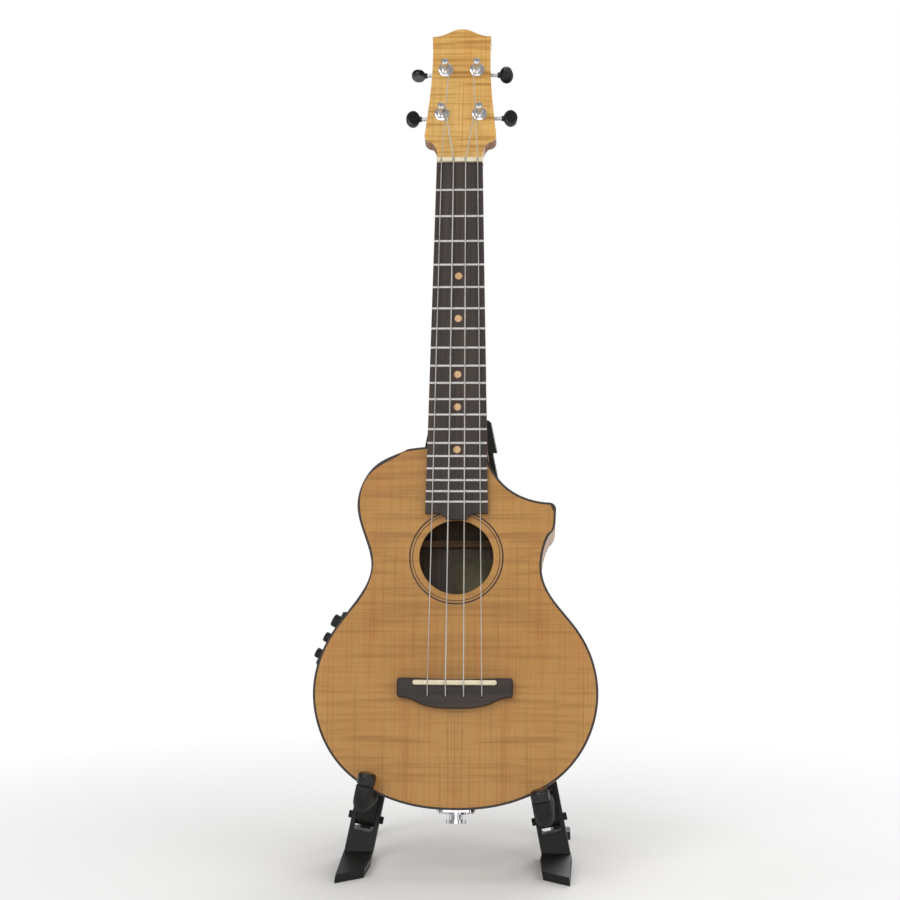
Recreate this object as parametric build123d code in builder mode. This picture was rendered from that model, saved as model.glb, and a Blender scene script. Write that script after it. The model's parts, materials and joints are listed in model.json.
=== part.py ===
"""A concert ukulele with a cutaway and a pickup, leaning on a folding plastic A-frame stand.

Millimetres, +Z up, the player's side towards -Y. The origin is on the floor under the middle of the object.
The ukulele is drawn in its own frame: x across, y up the neck and z out of the soundboard, from the point of
the soundboard under the saddle. Each leg of the stand is drawn upright under its hinge, then splayed.
"""

import os
from math import cos, radians, sin, tan

from build123d import *

os.makedirs("parts", exist_ok=True)

# ---------------------------------------------------------------- driving dimensions
SADDLE_X, SADDLE_Y, SADDLE_Z = 1.08, -53.65, 136.0  # where the stand holds the soundboard under the saddle
LEAN = 11.0  # degrees the ukulele leans back

SCALE = 381.0  # string length of a concert ukulele
DEPTH = 62.0  # body, front to back
PLATE = 2.0  # soundboard and back
RIM = 1.8  # bent side
BINDING_W, BINDING_H = 1.6, 3.0
LINING_W, LINING_H = 2.0, 6.0
HOLE_Y, HOLE_R = 88.0, 26.4
ROSETTE = ((33.6, 1.1), (31.3, 0.6))  # outer radius and width of each ring
ROSETTE_DEPTH = 0.8
TAIL, BODY_END = -88.0, 168.0  # the two ends of the body
TOP_BRACES, BACK_BRACES = (-32.0, 48.0, 130.0), (-40.0, 25.0, 105.0)
BRACE_W, BRACE_H = 5.0, 7.0
BLOCK_HALF, BLOCK_L = 17.0, 17.0

BOARD_END, BOARD_T = 119.0, 4.5
BOARD_TONGUE = 4.4  # the middle of the fingerboard's end reaches the soundhole
END_HALF, NUT_HALF = 22.3, 17.0  # half width of the fingerboard at its two ends
FRETS, FRET_R = 19, 1.0
DOT_FRETS, DOT_R, DOT_T = (5, 7, 10, 12, 15), 2.6, 1.0
NUT_L, NUT_H, STRING_NUT = 4.0, 7.2, 6.5
HEEL = ((168.0, 21.6, 58.0), (174.0, 21.4, 55.0), (182.0, 21.2, 43.0), (192.0, 21.0, 29.0))
HEEL += ((204.0, 20.7, 19.5), (220.0, 20.4, 15.6))  # place, half width and depth of each section
NECK_T = 14.5

HEAD_ANGLE, HEAD_T, VENEER = 8.0, 10.5, 1.5
HEAD_SIDE = ((16.8, 0.0), (17.0, 4.7), (18.2, 9.4), (21.2, 13.5))  # from the nut to the shoulder
HEAD_EDGE = ((26.7, 19.6), (23.8, 46.5), (21.8, 78.0), (22.3, 103.6))  # from the shoulder to the top corner
HEAD_ARCH = ((15.0, 104.8), (7.5, 108.2), (0.0, 110.1))  # from the top corner to the middle
STRINGS = ("g", "c", "e", "a")  # from left to right in front view
STRING_R = {"g": 0.33, "c": 0.46, "e": 0.42, "a": 0.33}
POSTS = {"g": (-11.8, 74.5), "c": (-14.0, 37.0), "e": (14.0, 37.0), "a": (11.8, 74.5)}
BUTTON_X = {"g": 33.6, "c": 37.0, "e": 37.0, "a": 33.6}  # middle of each tuner button, from the centre line
BUTTON_TURN = {"g": 90.0, "c": 0.0, "e": 0.0, "a": 58.0}  # 0 turns the button's face to the front
BUTTON_L, BUTTON_W, BUTTON_T = 10.6, 13.4, 5.0
NUT_SPACING, SADDLE_SPACING = 8.9, 12.6
POST_R, POST_H, POST_WAIST = 3.0, 14.5, 2.2
BUSH_R, WASHER_R, WASHER_T = 4.4, 5.6, 0.8
WORM_OFFSET, WORM_DEPTH = 6.2, 6.0  # from the post's axis, and behind the headstock
CASE_W, CASE_L, CASE_D, CASE_WALL = 13.6, 18.0, 11.6, 1.3
FIT = 0.05  # radial running clearance

BRIDGE_H, BRIDGE_HALF = 6.5, 40.5
SADDLE_HALF, SADDLE_W, SADDLE_TOP, PICKUP_T = 29.4, 3.4, 9.6, 0.8
SLOT_Z = 2.6
HOLE_LINE = -10.2  # the row of string holes in the bridge

PANEL_X, PANEL_Y, PANEL_Z, PANEL_TURN = -86.5, 29.8, -24.0, 62.4  # middle of the preamp on the side's chord
PANEL_S, PANEL_W, PANEL_T = 43.0, 26.0, 4.2
PANEL_SCREWS = (38.0, 20.4)  # spacing of its four screws
KEY_AT, KEY_SIZE, KEY_BASE = (6.0, 7.0), (7.0, 4.0), 2.1  # the tuner's push button
CASE_S, HOUSING_W, HOUSING_IN = 35.0, 19.0, 18.0
KNOBS = {"volume_knob": (12.6, 4.6, 5.0), "bass_knob": (-0.6, 3.6, 4.6), "treble_knob": (-13.4, 3.6, 4.6)}
KNOB_SIDE = 4.0  # the knobs stand this far to the front of the panel's middle

JACK_R, JACK_BORE, JACK_OUT = 6.2, 3.2, 9.5
JACK_PLATE_W, JACK_PLATE_H, JACK_PLATE_T = 27.0, 16.0, 1.6
JACK_SCREWS = 20.4  # between its two screws

SPLAY = 11.3  # each leg from upright
HINGE_X, HINGE_Z, HINGE_PIN_R = 11.6, 307.0, 2.5
LEG_W, RAIL_T = 20.6, 12.0
BACK_GAP = 9.0  # from the ukulele's back to the front rails
SLOT_W, SLOT_LOW, SLOT_HIGH = 14.2, 20.0, 146.0
REAR_W, REAR_IN, REAR_T = 8.0, -1.0, 10.5
EYE_FRONT, EYE_BACK = 102.0, 124.0  # the legs' top blocks, behind the saddle
SOLE = 2.0
TOE_FRONT, TOE_INNER, TOE_H, TOE_TURN = -25.0, -8.0, 4.0, 2.4
PIN_Z, PIVOT_R, PIVOT_HEAD = 29.0, 2.0, 2.8
ARM_R, SLEEVE_R, CAP_R, CAP_L = 3.6, 6.7, 6.5, 8.0
ARM_FRONT, ARM_TIP, ARM_BEND = -27.0, 21.0, 9.0  # the bend is this far in front of the saddle
ARM_RISE = {-1: 8.0, 1: 0.9}  # degrees the left and right arms rise towards the front
ARM_LIFT = {-1: 16.1, 1: 15.9}  # how far above its pivot each arm starts
FOLD_NAMES = {-1: "left", 1: "right"}
REAR_FOOT = 137.0  # back edge of the rear legs' feet
HEEL_L, HEEL_W = 20.0, 15.0  # rear foot
CROSS_LOW, CROSS_HIGH = 170.0, 182.0  # the bar between the front and rear rails
HEAD_LOW, HEAD_HIGH, WALL = 296.0, 321.0, 3.5  # hinge head
PIN_SHORT = 1.2  # the hinge pins end this far inside the head's front
APRON_LOW, APRON_HALF, PAD_LOW, PAD_HIGH, PAD_HALF = 256.0, 22.0, 258.0, 290.0, 20.0
SLIDE_GAP = 0.7  # left between the hinge head and the ukulele's back as it slides up

# ---------------------------------------------------------------- frames
lean, splay = radians(LEAN), radians(SPLAY)
uke = Plane(origin=(SADDLE_X, SADDLE_Y, SADDLE_Z), x_dir=(1, 0, 0), z_dir=(0, -cos(lean), sin(lean)))
headstock = Plane(uke.location * Location((0, SCALE + NUT_L, 0), (-HEAD_ANGLE, 0, 0)))
preamp = Plane(uke.location * Location((PANEL_X, PANEL_Y, PANEL_Z), (0, 0, PANEL_TURN)) * Rotation(-90, 0, 0))


def on(frame, x=0.0, y=0.0, z=0.0, turn=(0, 0, 0)):
    """A plane of the given frame through a point of it, turned in degrees about its own axes."""
    return Plane(frame.location * Location((x, y, z), turn))


def spot(frame, x, y, z):
    """A point of the given frame, in the object's frame."""
    return frame.from_local_coords(Vector(x, y, z))


ACROSS = (90, 0, 0)  # sketch x is the frame's x, sketch y its z, and extrusion goes towards its -y
SIDE = (90, 90, 0)  # sketch x is the frame's y, sketch y its z, and extrusion goes towards its +x


def fret_place(number):
    """How far a fret is from the saddle."""
    return SCALE * 2 ** (-number / 12)


def board_half(y):
    """Half the fingerboard's width at y."""
    return END_HALF + (NUT_HALF - END_HALF) * (y - BOARD_END) / (SCALE - BOARD_END)


def string_x(index, y):
    """Where a string passes over y, counted from the left string."""
    spacing = SADDLE_SPACING + (NUT_SPACING - SADDLE_SPACING) * y / (SCALE + NUT_L / 2)
    return (index - 1.5) * spacing


def write(label, part):
    """Labels a finished piece and writes its file."""
    part.label = label
    export_step(part, f"parts/{label}.step")
    finished[label] = part


finished = {}

# ---------------------------------------------------------------- body
BOUT = ((-44.0, -81.2), (-80.0, -58.5), (-100.0, -8.0), (-85.7, 37.0), (-60.4, 81.0))
SHOULDER = ((-71.2, 126.5), (-66.2, 144.5), (-54.0, 157.6), (-38.0, 164.9))
HORN = ((60.4, 81.0), (66.4, 104.8), (70.5, 121.0))
CUTAWAY = ((66.6, 127.4), (45.5, 132.3), (33.0, 141.0), (24.0, 153.5), (21.0, BODY_END))

with BuildSketch() as outline:
    with BuildLine():
        tail = (0, TAIL)
        left = Spline(tail, *BOUT, *SHOULDER, (-21, BODY_END), tangents=((-1, 0), (1, 0.1)))
        bout = [(-x, y) for x, y in BOUT[:-1]]
        right = Spline(tail, *bout, *HORN, tangents=((1, 0), (0, 1)))
        cut = Spline(*CUTAWAY, tangents=((-1, 0.04), (-0.1, 1)))
        ThreePointArc(right @ 1, (69.9, 125.4), cut @ 0)
        Line(cut @ 1, left @ 1)
    make_face()


def moved(edge, amount, steps=16):
    """Points along an edge, each moved to the edge's right by an amount."""
    points = []
    for step in range(steps + 1):
        heading = edge % (step / steps)
        points.append(edge @ (step / steps) + Vector(heading.Y, -heading.X) * amount)
    return points


def inset(amount):
    """The body's outline, drawn in by an amount."""
    with BuildSketch() as drawn:
        with BuildLine():
            west = Spline(moved(left, amount), tangents=(left % 0, left % 1))
            east = Spline(moved(right, -amount), tangents=(right % 0, right % 1))
            north = Spline(moved(cut, -amount), tangents=(cut % 0, cut % 1))
            Line(east @ 1, north @ 0)
            Line(north @ 1, west @ 1)
        make_face()
        with Locations((0, (TAIL + BODY_END) / 2)):
            Rectangle(3 * BODY_END, BODY_END - TAIL - 2 * amount, mode=Mode.INTERSECT)
    return drawn.sketch


plate_face, rim_face, lining_face = inset(BINDING_W), inset(RIM), inset(RIM + LINING_W)

with BuildPart() as envelope:
    with BuildSketch(uke):
        add(outline.sketch)
    extrude(amount=-DEPTH)

with BuildPart() as top_plate:
    with BuildSketch(uke):
        add(plate_face)
        with Locations((0, HOLE_Y)):
            Circle(HOLE_R, mode=Mode.SUBTRACT)
    extrude(amount=-PLATE)
    with BuildSketch(uke):
        with Locations((0, HOLE_Y)):
            for radius, width in ROSETTE:
                Circle(radius)
                Circle(radius - width, mode=Mode.SUBTRACT)
    extrude(amount=-ROSETTE_DEPTH, mode=Mode.SUBTRACT)
write("top_plate", top_plate.part)

with BuildPart() as rosette_rings:
    for radius, width in ROSETTE:
        with BuildSketch(on(uke, 0, HOLE_Y, -ROSETTE_DEPTH)):
            Circle(radius)
            Circle(radius - width, mode=Mode.SUBTRACT)
        extrude(amount=ROSETTE_DEPTH)
write("rosette_rings", rosette_rings.part)

with BuildPart() as back_plate:
    with BuildSketch(on(uke, z=-DEPTH)):
        add(plate_face)
    extrude(amount=PLATE)
write("back_plate", back_plate.part)

with BuildPart() as bindings:
    for level in (-BINDING_H, -DEPTH):
        with BuildSketch(on(uke, z=level)):
            add(outline.sketch)
            add(plate_face, mode=Mode.SUBTRACT)
        extrude(amount=BINDING_H)
write("bindings", bindings.part)

with BuildPart() as side_rim:
    with BuildSketch(on(uke, z=-BINDING_H)):
        add(outline.sketch)
        add(rim_face, mode=Mode.SUBTRACT)
    extrude(amount=-(DEPTH - 2 * BINDING_H))
    with BuildSketch(on(preamp, z=-HOUSING_IN)):
        Rectangle(CASE_S, HOUSING_W)
    extrude(amount=2 * HOUSING_IN, mode=Mode.SUBTRACT)
    with BuildSketch(on(uke, 0, TAIL + 10, -DEPTH / 2, ACROSS)):
        Circle(JACK_R)
    extrude(amount=20, mode=Mode.SUBTRACT)
write("side_rim", side_rim.part)

with BuildPart() as end_blocks:
    with BuildSketch(on(uke, z=-PLATE)):
        add(rim_face)
        with Locations((0, BODY_END - BLOCK_L / 2), (0, TAIL + BLOCK_L / 2)):
            Rectangle(2 * BLOCK_HALF, BLOCK_L, mode=Mode.INTERSECT)
    extrude(amount=-(DEPTH - 2 * PLATE))
    with BuildSketch(on(uke, 0, TAIL + 2 * BLOCK_L, -DEPTH / 2, ACROSS)):
        Circle(JACK_R)
    extrude(amount=3 * BLOCK_L, mode=Mode.SUBTRACT)
write("end_blocks", end_blocks.part)

with BuildPart() as linings:
    for level in (-PLATE - LINING_H, -DEPTH + PLATE):
        with BuildSketch(on(uke, z=level)):
            add(rim_face)
            add(lining_face, mode=Mode.SUBTRACT)
            with Locations((0, BODY_END - BLOCK_L / 2), (0, TAIL + BLOCK_L / 2)):
                Rectangle(2 * BLOCK_HALF, BLOCK_L, mode=Mode.SUBTRACT)
        extrude(amount=LINING_H)
write("linings", linings.part)

with BuildPart() as braces:
    for places, level in ((TOP_BRACES, -PLATE - BRACE_H), (BACK_BRACES, -DEPTH + PLATE)):
        for y in places:
            with BuildSketch(on(uke, z=level)):
                add(lining_face)
                with Locations((0, y)):
                    Rectangle(2 * BODY_END, BRACE_W, mode=Mode.INTERSECT)
            extrude(amount=BRACE_H)
write("braces", braces.part)

# ---------------------------------------------------------------- neck and headstock
with BuildSketch() as head_face:
    with BuildLine():
        for side in (-1, 1):
            shoulder = Spline([(side * x, y) for x, y in HEAD_SIDE], tangents=((0, 1), (side * 0.7, 0.5)))
            widest = (side * HEAD_EDGE[0][0], HEAD_EDGE[0][1])
            corner = ThreePointArc(shoulder @ 1, (side * 25.9, 16.3), widest)
            edge = Spline([(side * x, y) for x, y in HEAD_EDGE])
            crest = [(side * x, y) for x, y in HEAD_ARCH]
            arch = Spline([edge @ 1] + crest, tangents=((-side, 0), (-side, 0)))
        Line((-HEAD_SIDE[0][0], 0), (HEAD_SIDE[0][0], 0))
    make_face()

with BuildPart() as neck:
    for y, half, depth in HEEL:
        with BuildSketch(on(uke, y=y, turn=ACROSS)):
            with BuildLine():
                Line((-half, 0), (half, 0))
                EllipticalCenterArc((0, 0), half, depth, start_angle=180, arc_size=180)
            make_face()
    loft()
    shaft = (HEEL[-1], (SCALE - 8, NUT_HALF, NECK_T), (SCALE + NUT_L + 8, NUT_HALF - 0.3, HEAD_T))
    for y, half, depth in shaft:
        with BuildSketch(on(uke, y=y, turn=ACROSS)):
            with BuildLine():
                Line((-half, 0), (half, 0))
                EllipticalCenterArc((0, 0), half, depth, start_angle=180, arc_size=180)
            make_face()
    loft(ruled=True)
    with BuildSketch(headstock):
        with Locations((0, HEAD_T)):
            Rectangle(4 * NUT_HALF, 2 * HEAD_T)
    extrude(amount=HEAD_T, mode=Mode.SUBTRACT)
    with BuildSketch(headstock):
        add(head_face.sketch)
    extrude(amount=-HEAD_T)
    for x, y in POSTS.values():
        with BuildSketch(on(headstock, x, y)):
            Circle(BUSH_R)
        extrude(amount=-HEAD_T, mode=Mode.SUBTRACT)
        with BuildSketch(on(headstock, x, y - CASE_L / 2 - 0.2, -HEAD_T)):
            Circle(1.0)
        extrude(amount=5, mode=Mode.SUBTRACT)
write("neck", neck.part)

with BuildPart() as headstock_veneer:
    with BuildSketch(headstock):
        add(head_face.sketch)
        with Locations(*POSTS.values()):
            Circle(BUSH_R, mode=Mode.SUBTRACT)
    extrude(amount=VENEER)
write("headstock_veneer", headstock_veneer.part)

with BuildPart() as nut:
    with BuildSketch(on(uke, -NUT_HALF, turn=SIDE)):
        with BuildLine():
            Polyline((SCALE, 0), (SCALE + NUT_L, 0), (SCALE + NUT_L, NUT_H - 1.6))
            ThreePointArc((SCALE + NUT_L, NUT_H - 1.6), (SCALE + NUT_L - 1, NUT_H - 0.4), (SCALE, NUT_H))
            Line((SCALE, NUT_H), (SCALE, 0))
        make_face()
    extrude(amount=2 * NUT_HALF)
    for index, name in enumerate(STRINGS):
        with BuildSketch(on(uke, string_x(index, SCALE), SCALE - 1, NUT_H, ACROSS)):
            SlotCenterToCenter(2 * (NUT_H - STRING_NUT), 2 * STRING_R[name] + 0.5, rotation=90)
        extrude(amount=-NUT_L - 2, mode=Mode.SUBTRACT)
write("nut", nut.part)

# ---------------------------------------------------------------- fingerboard, bridge and strings
with BuildPart() as fretboard:
    with BuildSketch(uke):
        with BuildLine():
            Polyline((-END_HALF, BOARD_END), (-NUT_HALF, SCALE), (NUT_HALF, SCALE), (END_HALF, BOARD_END))
            Line((END_HALF, BOARD_END), (13.5, BOARD_END))
            TangentArc((13.5, BOARD_END), (7.2, BOARD_END - BOARD_TONGUE), tangent=(-1, 0))
            Line((7.2, BOARD_END - BOARD_TONGUE), (-7.2, BOARD_END - BOARD_TONGUE))
            TangentArc((-13.5, BOARD_END), (-7.2, BOARD_END - BOARD_TONGUE), tangent=(1, 0))
            Line((-13.5, BOARD_END), (-END_HALF, BOARD_END))
        make_face()
    extrude(amount=BOARD_T)
    with BuildSketch(on(uke, z=BOARD_T)):
        for number in DOT_FRETS:
            with Locations((0, (fret_place(number) + fret_place(number - 1)) / 2)):
                Circle(DOT_R)
    extrude(amount=-DOT_T, mode=Mode.SUBTRACT)
write("fretboard", fretboard.part)

with BuildPart() as position_dots:
    for number in DOT_FRETS:
        with BuildSketch(on(uke, 0, (fret_place(number) + fret_place(number - 1)) / 2, BOARD_T - DOT_T)):
            Circle(DOT_R)
        extrude(amount=DOT_T)
write("position_dots", position_dots.part)

with BuildPart() as frets:
    for number in range(1, FRETS + 1):
        y = fret_place(number)
        with BuildSketch(on(uke, -board_half(y), y, BOARD_T, SIDE)):
            with BuildLine():
                CenterArc((0, 0), FRET_R, 0, 180)
                Line((-FRET_R, 0), (FRET_R, 0))
            make_face()
        extrude(amount=2 * board_half(y))
write("frets", frets.part)

with BuildPart() as bridge:
    with BuildSketch(uke):
        with BuildLine():
            Spline((-38.5, 2.6), (0, 1.6), (38.5, 2.6), tangents=((1, 0), (1, 0)))
            for side in (-1, 1):
                ThreePointArc((side * 38.5, 2.6), (side * 39.9, 2.0), (side * BRIDGE_HALF, 0.6))
                Line((side * BRIDGE_HALF, 0.6), (side * BRIDGE_HALF, -9.0))
                ThreePointArc((side * BRIDGE_HALF, -9.0), (side * 39.9, -10.4), (side * 38.5, -11.0))
                belly = [(side * 32.0, -12.0), (side * 24.5, -15.5), (side * 14.0, -18.0), (0, -18.6)]
                Spline((side * 38.5, -11.0), *belly, tangents=((-side, 0), (-side, 0)))
        make_face()
    extrude(amount=BRIDGE_H)
    chamfer(bridge.faces().sort_by(Axis(uke.origin, uke.z_dir))[-1].edges(), 0.9)
    with BuildSketch(on(uke, 0, -0.8, SLOT_Z)):
        SlotOverall(2 * SADDLE_HALF, SADDLE_W)
    extrude(amount=BRIDGE_H, mode=Mode.SUBTRACT)
    for index in range(len(STRINGS)):
        with BuildSketch(on(uke, string_x(index, HOLE_LINE), HOLE_LINE, SLOT_Z)):
            Circle(0.9)
        extrude(amount=BRIDGE_H, mode=Mode.SUBTRACT)
write("bridge", bridge.part)

with BuildPart() as saddle_pickup:
    with BuildSketch(on(uke, 0, -0.8, SLOT_Z)):
        SlotOverall(2 * SADDLE_HALF, SADDLE_W)
    extrude(amount=PICKUP_T)
write("saddle_pickup", saddle_pickup.part)

with BuildPart() as saddle:
    with BuildSketch(on(uke, 0, -0.8, SLOT_Z + PICKUP_T)):
        SlotOverall(2 * SADDLE_HALF, SADDLE_W)
    extrude(amount=SADDLE_TOP - SLOT_Z - PICKUP_T)
    fillet(saddle.faces().sort_by(Axis(uke.origin, uke.z_dir))[-1].edges(), 0.8)
write("saddle", saddle.part)

with BuildPart() as strings:
    for index, name in enumerate(STRINGS):
        r = STRING_R[name]
        post_x, post_y = POSTS[name]
        inner = 1 if post_x < 0 else -1
        low = SADDLE_TOP + r + FIT
        route = [
            spot(uke, string_x(index, HOLE_LINE), HOLE_LINE, SLOT_Z + 1.5),
            spot(uke, string_x(index, HOLE_LINE), HOLE_LINE, BRIDGE_H + 0.4),
            spot(uke, string_x(index, 0), -2.3, low),
            spot(uke, string_x(index, SCALE + NUT_L / 2), SCALE + NUT_L / 2, STRING_NUT),
            spot(headstock, post_x + inner * (POST_WAIST + r + 0.3), post_y - 1.2, VENEER + 7.5),
        ]
        for start, end in zip(route, route[1:]):
            with BuildSketch(Plane(origin=start, z_dir=end - start)):
                Circle(r)
            extrude(amount=(end - start).length)
            with Locations(end):
                Sphere(1.02 * r)
write("strings", strings.part)

# ---------------------------------------------------------------- tuning machines
worm_z = -HEAD_T - WORM_DEPTH
case_y = WORM_OFFSET / 2 - 0.9  # middle of the gear case, up from the post

with BuildPart() as tuner_housings:
    for x, y in POSTS.values():
        out = 1 if x > 0 else -1
        with BuildSketch(on(headstock, x, y + case_y, -HEAD_T)):
            RectangleRounded(CASE_W, CASE_L, 3)
        extrude(amount=-CASE_D)
        with BuildSketch(on(headstock, x, y - CASE_L / 2 - 0.2, -HEAD_T)):
            SlotCenterToCenter(6, 5, rotation=90)
        extrude(amount=-1.6)
        with BuildSketch(on(headstock, x, y + case_y, -HEAD_T)):
            RectangleRounded(CASE_W - 2 * CASE_WALL, CASE_L - 2 * CASE_WALL, 2)
        extrude(amount=-CASE_D + CASE_WALL, mode=Mode.SUBTRACT)
        with BuildSketch(on(headstock, x, y + WORM_OFFSET, worm_z, (0, 90 * out, 0))):
            Circle(1.6 + FIT)
        extrude(amount=CASE_W, mode=Mode.SUBTRACT)
        with BuildSketch(on(headstock, x, y - CASE_L / 2 - 0.2, -HEAD_T)):
            Circle(1.0)
        extrude(amount=-3, mode=Mode.SUBTRACT)
write("tuner_housings", tuner_housings.part)

with BuildPart() as tuner_screws:
    for x, y in POSTS.values():
        with BuildSketch(on(headstock, x, y - CASE_L / 2 - 0.2, -HEAD_T - 1.6)):
            Circle(1.0)
        extrude(amount=5.6)
        with BuildSketch(on(headstock, x, y - CASE_L / 2 - 0.2, -HEAD_T - 1.6)):
            Circle(2.0)
        extrude(amount=-1.0)
write("tuner_screws", tuner_screws.part)

with BuildPart() as tuner_bushings:
    for x, y in POSTS.values():
        with BuildSketch(on(headstock, x, y, -HEAD_T + 3)):
            Circle(BUSH_R)
        extrude(amount=HEAD_T - 3 + VENEER + WASHER_T)
        with BuildSketch(on(headstock, x, y, VENEER + WASHER_T)):
            RegularPolygon(5.2, 6)
        extrude(amount=1.7)
        with BuildSketch(on(headstock, x, y, -HEAD_T)):
            Circle(POST_R + FIT)
        extrude(amount=2 * HEAD_T, mode=Mode.SUBTRACT)
write("tuner_bushings", tuner_bushings.part)

with BuildPart() as tuner_washers:
    for x, y in POSTS.values():
        with BuildSketch(on(headstock, x, y, VENEER)):
            Circle(WASHER_R)
            Circle(BUSH_R, mode=Mode.SUBTRACT)
        extrude(amount=WASHER_T)
write("tuner_washers", tuner_washers.part)

for name in STRINGS:
    x, y = POSTS[name]
    out = 1 if x > 0 else -1
    wheel_low, wheel_high = worm_z - 1.8, worm_z + 1.8
    with BuildPart() as string_post:
        with BuildSketch(on(headstock, x, y, turn=SIDE)):
            with BuildLine():
                Polyline(
                    (0, wheel_low - 1.5), (2, wheel_low - 1.5), (2, wheel_low), (4.2, wheel_low),
                    (4.2, wheel_high), (2, wheel_high), (2, -HEAD_T + 0.5), (POST_R, -HEAD_T + 0.5),
                    (POST_R, VENEER + 4.2), (POST_WAIST, VENEER + 6), (POST_WAIST, VENEER + 9.5),
                    (POST_R - 0.3, VENEER + 11), (POST_R - 0.3, VENEER + POST_H - 1.2),
                    (POST_R - 1.3, VENEER + POST_H), (0, VENEER + POST_H), (0, wheel_low - 1.5),
                )
            make_face()
        revolve(axis=Axis(spot(headstock, x, y, 0), headstock.z_dir))
        with BuildSketch(on(headstock, x, y, wheel_low)):
            with PolarLocations(4.2, 14):
                Circle(0.35)
        extrude(amount=3.6, mode=Mode.SUBTRACT)
        with BuildSketch(on(headstock, x - 5, y, VENEER + 8, (0, 90, 0))):
            Circle(0.7)
        extrude(amount=10, mode=Mode.SUBTRACT)
    write("string_post_" + name, string_post.part)

    knob_x = out * BUTTON_X[name]
    with BuildPart() as worm_shaft:
        with BuildSketch(on(headstock, x - out * 4.6, y + WORM_OFFSET, worm_z, (0, 90 * out, 0))):
            Circle(1.6)
        extrude(amount=abs(knob_x - x) + 4.6 + 2)
        for turn in range(6):
            groove = x + out * (turn * 1.3 - 3.3)
            with BuildSketch(on(headstock, groove, y + WORM_OFFSET, worm_z, (0, 90, 0))):
                Circle(1.78)
            extrude(amount=0.6)
        collar = x + out * (CASE_W / 2 + 0.2)
        with BuildSketch(on(headstock, collar, y + WORM_OFFSET, worm_z, (0, 90 * out, 0))):
            Circle(2.7)
        extrude(amount=1.4)
    write("worm_shaft_" + name, worm_shaft.part)

    grip = on(headstock, knob_x, y + WORM_OFFSET, worm_z, (BUTTON_TURN[name], 0, 0))
    with BuildPart() as tuner_knob:
        with BuildSketch(grip):
            Ellipse(BUTTON_L / 2, BUTTON_W / 2)
        extrude(amount=BUTTON_T / 2, both=True)
        fillet(tuner_knob.edges(), 1.6)
        with BuildSketch(on(grip, -out * BUTTON_L / 2 - out * 1.6, turn=(0, 90 * out, 0))):
            Circle(2.2)
        extrude(amount=3.4)
        with BuildSketch(on(grip, -out * 12, turn=(0, 90 * out, 0))):
            Circle(1.6)
        extrude(amount=14, mode=Mode.SUBTRACT)
    write("tuner_knob_" + name, tuner_knob.part)

# ---------------------------------------------------------------- preamp on the side
with BuildPart() as preamp_housing:
    with BuildSketch(on(preamp, z=-HOUSING_IN)):
        Rectangle(CASE_S, HOUSING_W)
    extrude(amount=HOUSING_IN + 1.2)
    with BuildSketch(on(preamp, z=-HOUSING_IN + 1.5)):
        Rectangle(CASE_S - 3, HOUSING_W - 3)
    extrude(amount=HOUSING_IN, mode=Mode.SUBTRACT)
write("preamp_housing", preamp_housing.part)

with BuildPart() as preamp_panel:
    with BuildSketch(on(preamp, z=-4)):
        RectangleRounded(PANEL_S, PANEL_W, 3)
    extrude(amount=4 + PANEL_T)
    chamfer(preamp_panel.faces().sort_by(Axis(preamp.origin, preamp.z_dir))[-1].edges(), 0.8)
    add(envelope.part, mode=Mode.SUBTRACT)
    with BuildSketch(on(preamp, z=-4)):
        Rectangle(CASE_S, HOUSING_W)
    extrude(amount=4 + 1.2, mode=Mode.SUBTRACT)
    for place, radius, height in KNOBS.values():
        with BuildSketch(on(preamp, place, -KNOB_SIDE, -4)):
            Circle(1.5 + FIT)
        extrude(amount=4 * PANEL_T, mode=Mode.SUBTRACT)
    with BuildSketch(on(preamp, *KEY_AT)):
        Rectangle(KEY_SIZE[0] + 0.3, KEY_SIZE[1] + 0.3)
    extrude(amount=2 * PANEL_T, mode=Mode.SUBTRACT)
    with BuildSketch(on(preamp, z=PANEL_T - 2)):
        with GridLocations(*PANEL_SCREWS, 2, 2):
            Circle(0.9)
    extrude(amount=3, mode=Mode.SUBTRACT)
write("preamp_panel", preamp_panel.part)

with BuildPart() as preamp_screws:
    with BuildSketch(on(preamp, z=PANEL_T - 2)):
        with GridLocations(*PANEL_SCREWS, 2, 2):
            Circle(0.9)
    extrude(amount=2)
    with BuildSketch(on(preamp, z=PANEL_T)):
        with GridLocations(*PANEL_SCREWS, 2, 2):
            Circle(1.6)
    extrude(amount=0.7)
write("preamp_screws", preamp_screws.part)

for name, (place, radius, height) in KNOBS.items():
    with BuildPart() as knob:
        with BuildSketch(on(preamp, place, -KNOB_SIDE, -3)):
            Circle(1.5)
        extrude(amount=3 + PANEL_T + 0.4)
        with BuildSketch(on(preamp, place, -KNOB_SIDE, PANEL_T + 0.3)):
            Circle(radius)
        extrude(amount=height)
        chamfer(knob.faces().sort_by(Axis(preamp.origin, preamp.z_dir))[-1].edges(), 0.6)
        with BuildSketch(on(preamp, place, -KNOB_SIDE, PANEL_T + 0.3)):
            with PolarLocations(radius, 18):
                Circle(0.25)
        extrude(amount=height, mode=Mode.SUBTRACT)
    write(name, knob.part)

with BuildPart() as tuner_button:
    with BuildSketch(on(preamp, *KEY_AT, KEY_BASE)):
        RectangleRounded(*KEY_SIZE, 0.8)
    extrude(amount=PANEL_T + 1.0 - KEY_BASE)
write("tuner_button", tuner_button.part)

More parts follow.
